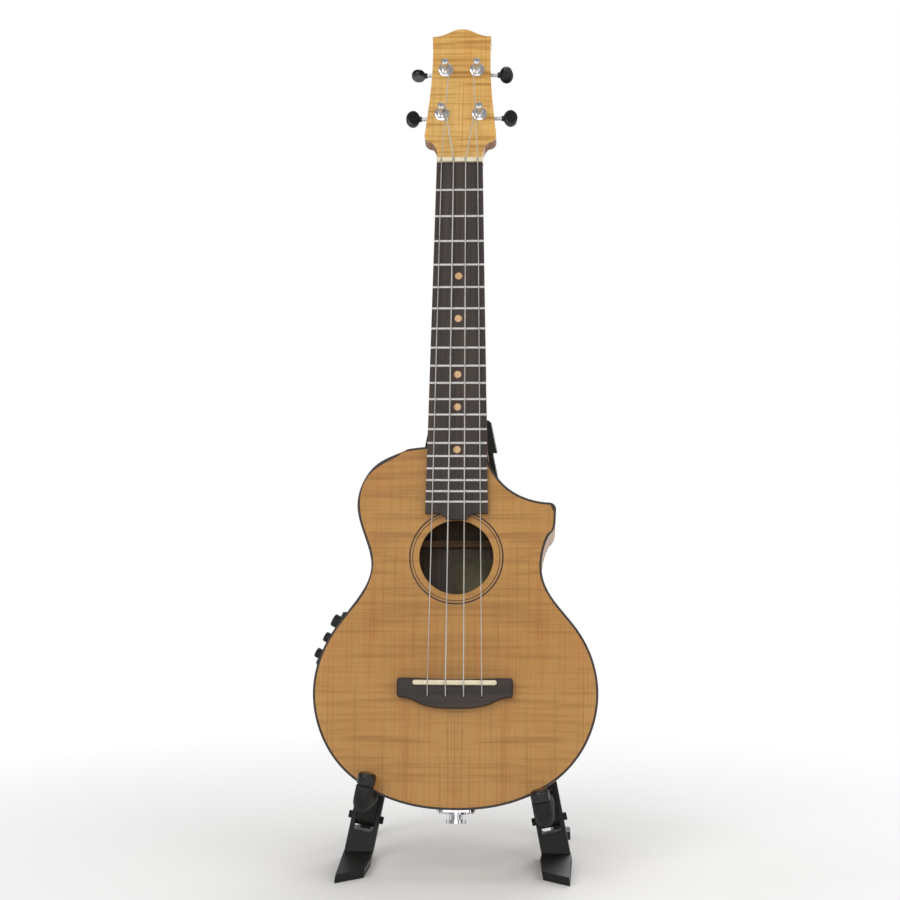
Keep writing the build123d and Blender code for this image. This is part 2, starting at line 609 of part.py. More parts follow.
# ---------------------------------------------------------------- endpin jack
tail_plane = on(uke, 0, TAIL, -DEPTH / 2, ACROSS)
with BuildPart() as jack_plate:
    with BuildSketch(on(tail_plane, z=-3)):
        RectangleRounded(JACK_PLATE_W, JACK_PLATE_H, 5)
    extrude(amount=3 + JACK_PLATE_T)
    add(envelope.part, mode=Mode.SUBTRACT)
    with BuildSketch(on(tail_plane, z=-3)):
        Circle(JACK_R)
        with GridLocations(JACK_SCREWS, 1, 2, 1):
            Circle(1.0)
    extrude(amount=6, mode=Mode.SUBTRACT)
write("jack_plate", jack_plate.part)

with BuildPart() as jack_screws:
    with BuildSketch(tail_plane):
        with GridLocations(JACK_SCREWS, 1, 2, 1):
            Circle(1.0)
    extrude(amount=JACK_PLATE_T)
    with BuildSketch(on(tail_plane, z=JACK_PLATE_T)):
        with GridLocations(JACK_SCREWS, 1, 2, 1):
            Circle(2.1)
    extrude(amount=1.0)
write("jack_screws", jack_screws.part)

JACK_STEPS = ((-34.0, JACK_PLATE_T, JACK_R), (JACK_PLATE_T, 3.2, 7.4), (3.2, 6.8, 4.8), (6.8, JACK_OUT, 7.2))
with BuildPart() as endpin_jack:
    for low, high, radius in JACK_STEPS:
        with BuildSketch(on(tail_plane, z=low)):
            Circle(radius)
        extrude(amount=high - low)
    with BuildSketch(on(tail_plane, z=-34)):
        Circle(JACK_BORE)
    extrude(amount=34 + JACK_OUT, mode=Mode.SUBTRACT)
write("endpin_jack", endpin_jack.part)

# ---------------------------------------------------------------- stand
drop = cos(splay)


def along(z):
    """The place along a leg, from its hinge, that is at height z."""
    return (z - HINGE_Z) / drop


def back_y(z):
    """How far behind the saddle the ukulele's back is at height z."""
    return DEPTH / cos(lean) + (z - SADDLE_Z) * tan(lean)


def rail_y(z):
    """The front face of the front rails at height z."""
    return back_y(z) + BACK_GAP


# The height where the front rails meet the legs' top blocks.
EYE_Z = SADDLE_Z + (EYE_FRONT - BACK_GAP - DEPTH / cos(lean)) / tan(lean)
PIN_Y = rail_y(PIN_Z) + RAIL_T / 2
FOOT_OUT = HINGE_X + HINGE_Z * tan(splay) + LEG_W / 2 / cos(splay)  # outer edge of a foot on the floor
FOOT_IN = FOOT_OUT - LEG_W / cos(splay)

for side, word in FOLD_NAMES.items():
    leg_frame = Plane(Location((side * HINGE_X, SADDLE_Y, HINGE_Z)) * Rotation(0, -side * SPLAY, 0))
    floor = Plane.XY.offset(SOLE)
    toe = [(side * x, y + SADDLE_Y) for x, y in (
        (FOOT_OUT, rail_y(0) + 8), (FOOT_OUT, rail_y(0)), (FOOT_OUT - TOE_TURN, TOE_FRONT),
        (FOOT_IN + 2.5 - TOE_TURN, TOE_INNER), (FOOT_IN - 1.2, 26.0),
        (FOOT_IN, rail_y(0) + 8), (FOOT_OUT, rail_y(0) + 8))]
    heel_x = side * (HINGE_X + HINGE_Z * tan(splay) + REAR_IN + REAR_W / 2)

    with BuildPart() as leg:
        with BuildSketch(on(leg_frame, -LEG_W / 2, turn=SIDE)):
            with BuildLine():
                Polyline(
                    (rail_y(-4), along(-4)), (EYE_FRONT, along(EYE_Z)), (EYE_FRONT, LEG_W / 2),
                    (EYE_BACK, LEG_W / 2), (EYE_BACK, along(268)), (rail_y(262) + RAIL_T, along(262)),
                    (rail_y(-4) + RAIL_T, along(-4)), (rail_y(-4), along(-4)),
                )
            make_face()
        extrude(amount=LEG_W)
        crown = leg.edges().filter_by(Axis.Y).group_by(Axis(leg_frame.origin, leg_frame.z_dir))[-1]
        fillet(crown, LEG_W / 2 - 0.3)
        with BuildSketch(on(leg_frame, side * (REAR_IN + REAR_W / 2) - REAR_W / 2, turn=SIDE)):
            with BuildLine():
                Polyline(
                    (EYE_BACK - REAR_T, along(275)), (EYE_BACK, along(285)), (REAR_FOOT, along(-4)),
                    (REAR_FOOT - REAR_T, along(-4)), (EYE_BACK - REAR_T, along(275)),
                )
            make_face()
        extrude(amount=REAR_W)
        with BuildSketch(on(leg_frame, side * (REAR_IN + REAR_W / 2) - REAR_W / 2, turn=SIDE)):
            with BuildLine():
                Polyline(
                    (rail_y(CROSS_HIGH) + RAIL_T / 2, along(CROSS_HIGH)),
                    (EYE_BACK, along(CROSS_HIGH - 4)),
                    (EYE_BACK, along(CROSS_LOW)),
                    (rail_y(CROSS_LOW + 4) + RAIL_T / 2, along(CROSS_LOW + 4)),
                    (rail_y(CROSS_HIGH) + RAIL_T / 2, along(CROSS_HIGH)),
                )
            make_face()
        extrude(amount=REAR_W)
        with BuildSketch(floor):
            with BuildLine():
                Polyline(*toe)
            make_face()
        extrude(amount=TOE_H / drop, dir=leg_frame.z_dir)
        with BuildSketch(floor):
            with Locations((heel_x, SADDLE_Y + REAR_FOOT - 6)):
                RectangleRounded(HEEL_W, HEEL_L, 3)
        extrude(amount=TOE_H)
        with BuildSketch(on(leg_frame, 0, 20, 0, ACROSS)):
            with Locations((0, (along(SLOT_LOW) + along(SLOT_HIGH)) / 2)):
                RectangleRounded(SLOT_W, along(SLOT_HIGH) - along(SLOT_LOW), 2)
        extrude(amount=-90, mode=Mode.SUBTRACT)
        with BuildSketch(on(leg_frame, -LEG_W, PIN_Y, along(PIN_Z), (0, 90, 0))):
            Circle(PIVOT_R)
        extrude(amount=2 * LEG_W, mode=Mode.SUBTRACT)
        with BuildSketch(on(leg_frame, 0, 90, 0, ACROSS)):
            Circle(HINGE_PIN_R + FIT)
        extrude(amount=-90, mode=Mode.SUBTRACT)
        with BuildSketch(floor):
            Rectangle(600, 600)
        extrude(amount=-40, mode=Mode.SUBTRACT)
    write("leg_" + word, leg.part)

    with BuildPart() as foot_pads:
        with BuildSketch():
            with BuildLine():
                Polyline(*toe)
            make_face()
            with Locations((heel_x, SADDLE_Y + REAR_FOOT - 6)):
                RectangleRounded(HEEL_W, HEEL_L, 3)
        extrude(amount=SOLE)
    write("foot_pads_" + word, foot_pads.part)

    with BuildPart() as pivot_pin:
        with BuildSketch(on(leg_frame, -LEG_W / 2, PIN_Y, along(PIN_Z), (0, 90, 0))):
            Circle(PIVOT_R)
        extrude(amount=LEG_W)
        for end, way in ((-LEG_W / 2, -1), (LEG_W / 2, 1)):
            with BuildSketch(on(leg_frame, end, PIN_Y, along(PIN_Z), (0, 90, 0))):
                Circle(PIVOT_HEAD)
            extrude(amount=way * 2.6)
    write("pivot_pin_" + word, pivot_pin.part)

    root = (PIN_Y - 2, along(PIN_Z) + ARM_LIFT[side])
    bend = (ARM_FRONT, root[1] + (root[0] - ARM_FRONT) * tan(radians(ARM_RISE[side])))
    tip = (ARM_FRONT, bend[1] + ARM_TIP)
    arm_plane = on(leg_frame, turn=SIDE)
    with BuildLine(arm_plane) as arm_line:
        FilletPolyline(root, bend, (tip[0], tip[1] - 3), radius=ARM_BEND)
    sleeve_y = rail_y(PIN_Z) - 2.5
    sleeve_start = (sleeve_y, root[1] + (root[0] - sleeve_y) * tan(radians(ARM_RISE[side])))
    with BuildLine(arm_plane) as sleeve_line:
        FilletPolyline(sleeve_start, bend, (tip[0], tip[1] - CAP_L), radius=ARM_BEND)

    with BuildPart() as arm:
        with BuildSketch(Plane(origin=arm_line.line @ 0, z_dir=arm_line.line % 0)):
            Circle(ARM_R)
        sweep(path=arm_line.line)
        with BuildSketch(on(leg_frame, -SLOT_W / 2 + 0.3, turn=SIDE)):
            with Locations((PIN_Y, along(PIN_Z))):
                Circle(6.0)
            with Locations(root):
                Circle(5.2)
            make_hull()
        extrude(amount=SLOT_W - 0.6)
        with BuildSketch(on(leg_frame, -LEG_W / 2, PIN_Y, along(PIN_Z), (0, 90, 0))):
            Circle(PIVOT_R + FIT)
        extrude(amount=LEG_W, mode=Mode.SUBTRACT)
    write("arm_" + word, arm.part)

    with BuildPart() as sleeve:
        with BuildSketch(Plane(origin=sleeve_line.line @ 0, z_dir=sleeve_line.line % 0)):
            Circle(SLEEVE_R)
            Circle(ARM_R, mode=Mode.SUBTRACT)
        sweep(path=sleeve_line.line)
    write("sleeve_" + word, sleeve.part)

    cap_plane = on(leg_frame, 0, tip[0], tip[1] - CAP_L)
    with BuildPart() as cap:
        with BuildSketch(cap_plane):
            Circle(CAP_R)
        extrude(amount=CAP_L)
        fillet(cap.faces().sort_by(Axis(leg_frame.origin, leg_frame.z_dir))[-1].edges(), 2.5)
        with BuildSketch(cap_plane):
            Circle(ARM_R)
        extrude(amount=CAP_L - 3, mode=Mode.SUBTRACT)
    write("cap_" + word, cap.part)

# The head holds both hinge pins between its two walls, and an apron carries the pad for the ukulele's back.


def flank(z, gap):
    """Half the width between the legs' outer faces at height z, with a gap added."""
    return HINGE_X + (HINGE_Z - z) * tan(splay) + (LEG_W / 2 + gap) / cos(splay)


head_front = SADDLE_Y + EYE_FRONT - 0.4 - WALL
head_back = SADDLE_Y + EYE_BACK + 0.4 + WALL
with BuildPart() as hinge_head:
    with BuildSketch(Plane.XZ.offset(-head_back)):
        with BuildLine():
            low, high = flank(HEAD_LOW, 3.2), flank(HEAD_HIGH, 3.2)
            Polyline((low, HEAD_LOW), (high, HEAD_HIGH), (-high, HEAD_HIGH), (-low, HEAD_LOW), (low, HEAD_LOW))
        make_face()
    extrude(amount=head_back - head_front)
    fillet(hinge_head.edges().filter_by(Axis.Y).group_by(Axis.Z)[-1], 3)
    with BuildSketch(Plane.XZ.offset(-head_back + WALL)):
        with BuildLine():
            low, high = flank(HEAD_LOW - 1, 0.6), flank(HINGE_Z + LEG_W / 2 + 0.6, 0.6)
            top = HINGE_Z + LEG_W / 2 + 0.6
            base = HEAD_LOW - 1
            Polyline((low, base), (high, top), (-high, top), (-low, base), (low, base))
        make_face()
    extrude(amount=head_back - head_front - 2 * WALL, mode=Mode.SUBTRACT)
    with BuildSketch(Plane.YZ.offset(-APRON_HALF)):
        with BuildLine():
            low, high = APRON_LOW, HEAD_LOW + 3
            face = [(SADDLE_Y + back_y(z) + 3.6, z) for z in (low, high)]
            rear = SADDLE_Y + EYE_FRONT - 0.5
            foot = (SADDLE_Y + rail_y(low) - 0.6, low)
            Polyline(face[0], face[1], (rear, high), (rear, EYE_Z), foot, face[0])
        make_face()
    extrude(amount=2 * APRON_HALF)
    with BuildSketch(Plane.XZ.offset(-head_back)):
        with Locations((-HINGE_X, HINGE_Z), (HINGE_X, HINGE_Z)):
            Circle(HINGE_PIN_R)
    extrude(amount=head_back - head_front, mode=Mode.SUBTRACT)
    with BuildSketch(uke):
        Rectangle(3 * BODY_END, 6 * BODY_END)
    extrude(amount=-DEPTH - SLIDE_GAP, mode=Mode.SUBTRACT)
write("hinge_head", hinge_head.part)

with BuildPart() as hinge_pins:
    with BuildSketch(Plane.XZ.offset(-head_back)):
        with Locations((-HINGE_X, HINGE_Z), (HINGE_X, HINGE_Z)):
            Circle(HINGE_PIN_R)
    extrude(amount=head_back - head_front - PIN_SHORT)
    with BuildSketch(Plane.XZ.offset(-head_back)):
        with Locations((-HINGE_X, HINGE_Z), (HINGE_X, HINGE_Z)):
            Circle(4.0)
    extrude(amount=-1.4)
write("hinge_pins", hinge_pins.part)

with BuildPart() as clear_space:
    with BuildSketch(uke):
        Rectangle(3 * BODY_END, 3 * BODY_END)
    extrude(amount=-DEPTH - 0.2)
with BuildPart() as head_pad:
    with BuildSketch(Plane.YZ.offset(-PAD_HALF)):
        with BuildLine():
            low, high = PAD_LOW, PAD_HIGH
            face = [(SADDLE_Y + back_y(z) + 3.6, z) for z in (low, high)]
            Polyline(face[0], face[1], (face[1][0] - 8, high), (face[0][0] - 8, low), face[0])
        make_face()
    extrude(amount=2 * PAD_HALF)
    add(clear_space.part, mode=Mode.SUBTRACT)
write("head_pad", head_pad.part)

box = Compound(children=list(finished.values())).bounding_box()
middle = box.center()
print("middle", round(middle.X, 3), round(middle.Y, 3), "bottom", round(box.min.Z, 3), "size", box.size)
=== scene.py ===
"""Looks for the ukulele on its stand: camera, studio, materials and the detailed pieces round the CAD frame.

Metres, in the CAD's own frame. Places come from the CAD nodes' boxes and from the joints.
"""

import json
from math import cos, pi, radians, sin, tan

import bmesh
import bpy
from mathutils import Matrix, Vector

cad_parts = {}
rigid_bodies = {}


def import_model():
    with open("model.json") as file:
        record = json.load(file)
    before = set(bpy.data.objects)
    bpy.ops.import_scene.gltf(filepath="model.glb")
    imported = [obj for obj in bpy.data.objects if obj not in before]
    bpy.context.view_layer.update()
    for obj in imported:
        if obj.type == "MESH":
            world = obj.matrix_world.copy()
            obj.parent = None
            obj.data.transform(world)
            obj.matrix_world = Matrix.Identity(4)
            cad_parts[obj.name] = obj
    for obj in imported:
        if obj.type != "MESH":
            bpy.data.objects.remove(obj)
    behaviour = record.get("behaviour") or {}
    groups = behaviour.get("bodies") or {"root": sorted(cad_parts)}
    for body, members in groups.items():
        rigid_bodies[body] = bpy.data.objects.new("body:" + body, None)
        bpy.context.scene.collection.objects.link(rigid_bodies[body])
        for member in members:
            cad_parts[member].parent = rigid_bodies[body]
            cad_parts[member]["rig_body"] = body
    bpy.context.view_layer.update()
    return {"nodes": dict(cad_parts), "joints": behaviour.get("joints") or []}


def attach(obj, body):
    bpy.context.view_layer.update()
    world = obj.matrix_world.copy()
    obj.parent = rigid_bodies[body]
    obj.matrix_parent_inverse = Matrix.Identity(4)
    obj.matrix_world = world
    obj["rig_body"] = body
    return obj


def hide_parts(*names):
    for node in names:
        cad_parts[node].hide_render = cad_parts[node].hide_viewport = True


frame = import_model()
nodes = frame["nodes"]
joints = {j["name"]: j for j in frame["joints"]}
SIDES = ("left", "right")
STRINGS = ("g", "c", "e", "a")


# ---------------------------------------------------------------- frames
def axis(joint):
    return Vector(joints[joint]["axis"]).normalized()


def place(joint):
    return Vector(joints[joint]["pos_m"])


def frame_of(x, y, origin):
    """A frame with the given x and y axes."""
    z = x.cross(y).normalized()
    made = Matrix((x, y, z)).transposed().to_4x4()
    made.translation = origin
    return made


def extent(node, local):
    """Lowest and highest corner of a CAD node in a frame."""
    back = local.inverted()
    points = [back @ v.co for v in nodes[node].data.vertices]
    low = Vector(min(p[i] for p in points) for i in range(3))
    high = Vector(max(p[i] for p in points) for i in range(3))
    return low, high


across, up = axis("tuner_g_turn"), axis("uke_lift")
uke = frame_of(across, up, Vector((0, 0, 0)))
low, high = extent("saddle", uke)
SADDLE_TOP = 0.0096  # the saddle's top above the soundboard
SADDLE_BACK = 0.0008  # the saddle's middle below the bridge line
saddle_x, saddle_y = (low.x + high.x) / 2, (low.y + high.y) / 2
uke.translation = uke @ Vector((saddle_x, saddle_y + SADDLE_BACK, high.z - SADDLE_TOP))
head_up = axis("post_g_turn").cross(across).normalized()
head = frame_of(across, head_up, place("post_g_turn"))
panel_out = axis("volume_knob_turn")
panel_along = (place("volume_knob_turn") - place("treble_knob_turn")).normalized()
panel = frame_of(panel_along, panel_out.cross(panel_along), place("bass_knob_turn"))


# ---------------------------------------------------------------- camera and studio
CAMERA_AWAY, CAMERA_HEIGHT, CAMERA_TURN, CAMERA_SIDE = 1.25, 0.2985, radians(3.0), -0.0036
LENS = 71.41
ahead = Vector((-sin(CAMERA_TURN), cos(CAMERA_TURN), 0))
beside = Vector((cos(CAMERA_TURN), sin(CAMERA_TURN), 0))
camera = bpy.data.objects.new("camera", bpy.data.cameras.new("camera"))
bpy.context.scene.collection.objects.link(camera)
camera.data.lens = LENS
camera.data.sensor_width = 36
camera.location = uke.translation - CAMERA_AWAY * ahead + CAMERA_SIDE * beside
camera.location.z = CAMERA_HEIGHT
camera.rotation_euler = (pi / 2, 0, CAMERA_TURN)
bpy.context.scene.camera = camera
bpy.context.scene.view_settings.view_transform = "Standard"

LIGHTS = (  # name, where, size, watts
    ("key", (-0.9, -1.5, 1.35), 1.3, 15),
    ("fill", (1.5, -1.2, 0.9), 1.4, 8),
    ("front", (0.1, -2.4, 0.6), 1.6, 9),
    ("top", (0.1, 0.2, 1.9), 1.5, 9),
    ("behind", (0.5, 1.7, 1.1), 1.4, 14),
)
AIM = Vector((0, 0, 0.27))
for name, where, size, watts in LIGHTS:
    lamp = bpy.data.objects.new(name, bpy.data.lights.new(name, "AREA"))
    lamp.data.shape = "DISK"
    lamp.data.size = size
    lamp.data.energy = watts
    lamp.location = where
    lamp.rotation_euler = (AIM - lamp.location).to_track_quat("-Z", "Y").to_euler()
    bpy.context.scene.collection.objects.link(lamp)

world = bpy.data.worlds.new("studio")
world.use_nodes = True
bpy.context.scene.world = world
sky = world.node_tree.nodes["Background"]
seen = world.node_tree.nodes.new("ShaderNodeMapRange")
ray = world.node_tree.nodes.new("ShaderNodeLightPath")
seen.inputs["To Min"].default_value = 0.32
seen.inputs["To Max"].default_value = 1.0
world.node_tree.links.new(ray.outputs["Is Camera Ray"], seen.inputs["Value"])
world.node_tree.links.new(seen.outputs["Result"], sky.inputs["Strength"])
sky.inputs["Color"].default_value = (1, 1, 1, 1)


# ---------------------------------------------------------------- node helpers
def tint(*rgb):
    """A colour given as 0-255 display values, as the shader wants it."""
    parts = [c / 255 for c in rgb]
    return (*[c / 12.92 if c <= 0.04045 else ((c + 0.055) / 1.055) ** 2.4 for c in parts], 1)


class Look:
    """A material whose nodes read a frame's coordinates."""

    def __init__(self, name, local=None, **sockets):
        self.material = bpy.data.materials.new(name)
        self.material.use_nodes = True
        self.tree = self.material.node_tree
        self.shader = self.tree.nodes["Principled BSDF"]
        for socket, value in sockets.items():
            self.shader.inputs[socket.replace("_", " ")].default_value = value
        self.at = self.add("TexCoord").outputs["Object"]
        if local is not None:
            turn = local.to_euler()
            moved = self.add("Mapping", vector_type="TEXTURE", Vector=self.at)
            moved.inputs["Location"].default_value = local.translation
            moved.inputs["Rotation"].default_value = turn
            self.at = moved.outputs["Vector"]

    def add(self, kind, vector_type=None, **inputs):
        made = self.tree.nodes.new("ShaderNode" + kind)
        if vector_type:
            made.vector_type = vector_type
        for name, value in inputs.items():
            self.put(made.inputs[name.replace("_", " ")], value)
        return made

    def put(self, socket, value):
        if isinstance(value, bpy.types.NodeSocket):
            self.tree.links.new(value, socket)
        else:
            socket.default_value = value

    def set(self, socket, value):
        self.put(self.shader.inputs[socket], value)

    def scaled(self, x, y, z, at=None):
        made = self.add("Mapping", Vector=at or self.at)
        made.inputs["Scale"].default_value = (x, y, z)
        return made.outputs["Vector"]

    def noise(self, scale=(1, 1, 1), detail=2.0, rough=0.5, warp=0.0, at=None):
        """Noise with its own number of features per metre along each axis."""
        made = self.add("TexNoise", Vector=self.scaled(*scale, at=at), Scale=1.0)
        made.inputs["Detail"].default_value = detail
        made.inputs["Roughness"].default_value = rough
        made.inputs["Distortion"].default_value = warp
        return made.outputs["Fac"]

    def cells(self, scale):
        """Distance to the nearest of many scattered points."""
        return self.add("TexVoronoi", Vector=self.scaled(*scale), Scale=1.0).outputs["Distance"]

    def span(self, value, low, high, to_low=0.0, to_high=1.0):
        made = self.add("MapRange", Value=value)
        for name, number in zip(("From Min", "From Max", "To Min", "To Max"), (low, high, to_low, to_high)):
            made.inputs[name].default_value = number
        return made.outputs["Result"]

    def sums(self, how, a, b):
        made = self.add("Math")
        made.operation = how
        self.put(made.inputs[0], a)
        self.put(made.inputs[1], b)
        return made.outputs[0]

    def mix(self, a, b, share, how="MIX"):
        made = self.add("Mix")
        made.data_type = "RGBA"
        made.blend_type = how
        self.put(made.inputs[0], share)
        self.put(made.inputs[6], a)
        self.put(made.inputs[7], b)
        return made.outputs[2]

    def bump(self, height, distance, strength=1.0, normal=None):
        made = self.add("Bump", Height=height)
        made.inputs["Distance"].default_value = distance
        made.inputs["Strength"].default_value = strength
        if normal is not None:
            self.put(made.inputs["Normal"], normal)
        return made.outputs["Normal"]

    def edges(self, radius):
        """1 along edges, 0 on flats, and a softened normal."""
        soft = self.add("Bevel")
        soft.samples = 4
        soft.inputs["Radius"].default_value = radius
        sharp = self.add("NewGeometry").outputs["Normal"]
        dot = self.add("VectorMath")
        dot.operation = "DOT_PRODUCT"
        self.put(dot.inputs[0], soft.outputs["Normal"])
        self.put(dot.inputs[1], sharp)
        return self.span(dot.outputs["Value"], 1.0, 0.75), soft.outputs["Normal"]

    def halves(self):
        """Coordinates mirrored about the frame's x, as bookmatched wood is."""
        apart = self.add("SeparateXYZ", Vector=self.at)
        mirrored = self.sums("ABSOLUTE", apart.outputs[0], 0.0)
        return self.add("CombineXYZ", X=mirrored, Y=apart.outputs[1], Z=apart.outputs[2]).outputs[0]


def inside_of(m, centre):
    """1 where a surface faces a point within the body, 0 where it faces out."""
    here = m.add("TexCoord")
    away = m.add("VectorMath")
    away.operation = "SUBTRACT"
    m.put(away.inputs[0], here.outputs["Object"])
    away.inputs[1].default_value = centre
    facing = m.add("VectorMath")
    facing.operation = "DOT_PRODUCT"
    m.put(facing.inputs[0], away.outputs["Vector"])
    m.put(facing.inputs[1], here.outputs["Normal"])
    return m.span(facing.outputs["Value"], 0.001, -0.001)


def maple(name, local, pale, honey, deep, amber, flame=0.6, wrap=False, mirrored=False):
    """Figured maple under lacquer: fine grain along y, flame across it, and slow changes of colour; inside
    the body, a darker unlacquered wood that is painted shade.
    """
    m = Look(name, local, Coat_Weight=0.15, Coat_Roughness=0.2, IOR=1.45, Specular_IOR_Level=0.35)
    at = m.halves() if mirrored else m.at
    if wrap:
        apart = m.add("SeparateXYZ", Vector=m.at)
        turn = m.sums("ARCTAN2", apart.outputs[0], m.sums("SUBTRACT", 0.02, apart.outputs[1]))
        at = m.add("CombineXYZ", X=apart.outputs[2], Y=m.sums("MULTIPLY", turn, 0.1), Z=0.0).outputs[0]
    curls = m.noise((14, 330, 14), 2.5, 0.55, 0.35, at)
    waves = m.noise((8, 150, 8), 2.0, 0.5, 0.5, at)
    grain = m.noise((620, 9, 620), 3.0, 0.6, 0.2, at)
    streaks = m.noise((95, 3.5, 95), 3.0, 0.55, 0.3, at)
    clouds = m.noise((14, 9, 14), 2.0, 0.5, 0.0, at)
    pores = m.noise((3200, 140, 3200), 1.0, 0.5, 0.0, at)
    figure = m.sums("ADD", m.sums("MULTIPLY", curls, 0.55), m.sums("MULTIPLY", waves, 0.45))
    colour = m.mix(honey, amber, m.span(streaks, 0.46, 0.66, 0.0, 0.75))
    colour = m.mix(colour, pale, m.span(clouds, 0.42, 0.66, 0.0, 0.55))
    colour = m.mix(colour, deep, m.span(figure, 0.5, 0.62, 0.0, flame))
    colour = m.mix(colour, pale, m.span(figure, 0.5, 0.38, 0.0, flame * 0.6))
    colour = m.mix(colour, deep, m.span(grain, 0.5, 0.68, 0.0, 0.42))
    colour = m.mix(colour, deep, m.span(pores, 0.64, 0.74, 0.0, 0.3))
    # Faces inside the body turn to a darker unlacquered wood: painted shade inside the body over the wood's
    # own grain.
    if local == uke:
        inside_wood_and_painted_shade = m.mix(tint(92, 66, 42), tint(66, 46, 30), m.span(grain, 0.4, 0.7))
        colour = m.mix(colour, inside_wood_and_painted_shade, inside_of(m, uke @ Vector((0, 0.02, -0.03))))
    m.set("Base Color", colour)
    m.set("Roughness", m.span(grain, 0.3, 0.7, 0.34, 0.44))
    height = m.sums("ADD", m.sums("MULTIPLY", grain, 0.5), m.sums("MULTIPLY", pores, 0.5))
    m.set("Normal", m.bump(height, 0.00004, 0.35))
    return m.material


def open_wood(name, local, base, light, dark, rough=(0.42, 0.6), along="y", pores=0.6):
    """A plain or open-pored wood with its grain along one axis of the frame."""
    m = Look(name, local, IOR=1.45)
    lengthwise = {"x": (1, 0), "y": (0, 1)}[along]

    def stretched(fine, long):
        return tuple(long if chosen else fine for chosen in lengthwise) + (fine,)

    grain = m.noise(stretched(420, 7), 3.5, 0.6, 0.25)
    streaks = m.noise(stretched(85, 4), 3.0, 0.55, 0.35)
    vessels = m.noise(stretched(2400, 130), 1.5, 0.5)
    clouds = m.noise((18, 18, 18), 2.0)
    colour = m.mix(base, light, m.span(streaks, 0.46, 0.68, 0.0, 0.9))
    colour = m.mix(colour, dark, m.span(grain, 0.48, 0.66, 0.0, 0.85))
    colour = m.mix(colour, light, m.span(clouds, 0.5, 0.75, 0.0, 0.4))
    open_pores = m.span(vessels, 0.6, 0.68)
    colour = m.mix(colour, dark, m.sums("MULTIPLY", open_pores, pores))
    m.set("Base Color", colour)
    m.set("Roughness", m.span(grain, 0.3, 0.7, *rough))
    height = m.sums("SUBTRACT", m.sums("MULTIPLY", grain, 0.4), open_pores)
    m.set("Normal", m.bump(height, 0.00008, 0.5))
    return m.material


def metal(name, colour, rough, brushed=None, local=None, dull=0.12):
    """Plated or turned metal with fine scratches, slight tarnish and softer edges."""
    m = Look(name, local, Metallic=1.0)
    lines = m.noise(brushed or (900, 900, 900), 3.0, 0.6)
    tarnish = m.noise((160, 160, 160), 3.0, 0.6)
    worn, soft = m.edges(0.00025)
    darker = tuple(c * 0.62 for c in colour[:3]) + (1,)
    tone = m.mix(colour, darker, m.span(tarnish, 0.5, 0.75, 0.0, 0.5))
    m.set("Base Color", m.mix(tone, tuple(min(1, c * 1.15) for c in colour[:3]) + (1,), worn))
    wear = m.sums("ADD", lines, m.sums("MULTIPLY", tarnish, 0.5))
    m.set("Roughness", m.span(wear, 0.5, 1.0, rough, rough + dull))
    m.set("Normal", m.bump(lines, 0.00002, 0.35, soft))
    return m.material


def moulded(name, base, worn_colour, rough, texture=1800, depth=0.00005, soft=0.0006, coat=0.0, scuffs=0.5):
    """Moulded plastic: a fine skin texture, slow gloss changes, hairline scuffs and paler worn edges."""
    m = Look(name, None, IOR=1.5, Coat_Weight=coat, Coat_Roughness=0.1, Specular_IOR_Level=0.3)
    skin = m.noise((texture, texture, texture), 2.0, 0.55)
    flow = m.noise((28, 28, 12), 3.0, 0.55, 0.6)
    scratches = m.noise((1500, 1500, 60), 2.0, 0.5, 0.4)
    dust = m.noise((240, 240, 240), 4.0, 0.65)
    worn, normal = m.edges(soft)
    patchy = m.sums("MULTIPLY", worn, m.span(dust, 0.35, 0.65))
    tone = m.mix(base, worn_colour, m.span(flow, 0.4, 0.75, 0.0, 0.4))
    tone = m.mix(tone, worn_colour, patchy)
    tone = m.mix(tone, worn_colour, m.sums("MULTIPLY", m.span(scratches, 0.66, 0.72), scuffs * 0.4))
    m.set("Base Color", tone)
    gloss = m.sums("ADD", flow, m.sums("MULTIPLY", skin, 0.35))
    m.set("Roughness", m.span(gloss, 0.4, 0.95, rough - 0.07, rough + 0.1))
    m.set("Normal", m.bump(skin, depth, 0.5, normal))
    return m.material


# ---------------------------------------------------------------- materials
HONEY = dict(
    pale=tint(184, 138, 72), honey=tint(170, 121, 56), deep=tint(138, 92, 38), amber=tint(172, 112, 48)
)
FLAMED = dict(
    pale=tint(220, 180, 108), honey=tint(206, 160, 86), deep=tint(160, 112, 50), amber=tint(204, 148, 74)
)
body_front = maple("body_front", uke, flame=0.55, mirrored=True, **HONEY)
body_side = maple("body_side", uke, flame=0.7, wrap=True, **HONEY)
head_front = maple("head_front", head, flame=0.95, **FLAMED)
neck_wood = open_wood(
    "neck_wood", uke, tint(134, 88, 52), tint(158, 108, 66), tint(98, 60, 34), (0.36, 0.5)
)
inner_wood = open_wood(
    "inner_wood", uke, tint(120, 90, 60), tint(140, 108, 74), tint(92, 66, 42), (0.6, 0.75), "x", 0.2
)
board_wood = open_wood(
    "board_wood", uke, tint(44, 35, 31), tint(62, 47, 39), tint(28, 22, 20), (0.48, 0.62)
)
bridge_wood = open_wood(
    "bridge_wood", uke, tint(38, 29, 24), tint(56, 41, 33), tint(24, 18, 15), (0.42, 0.56), "x"
)
dot_wood = open_wood(
    "dot_wood", uke, tint(200, 160, 112), tint(220, 184, 138), tint(168, 124, 78), (0.4, 0.5)
)
binding_wood = open_wood(
    "binding_wood", uke, tint(38, 25, 17), tint(54, 37, 26), tint(24, 16, 11), (0.3, 0.42)
)
chrome = metal("chrome", (0.78, 0.78, 0.8, 1), 0.08)
steel = metal("steel", (0.6, 0.6, 0.61, 1), 0.24)
nickel = metal("nickel", (0.55, 0.54, 0.52, 1), 0.24, (60, 900, 900), uke)
knob_black = moulded("knob_black", tint(14, 14, 15), tint(36, 36, 37), 0.2, 1200, 0.00002, 0.0003, 0.4, 0.2)
panel_black = moulded("panel_black", tint(26, 26, 27), tint(52, 52, 52), 0.42, 2600, 0.00004, 0.0003)
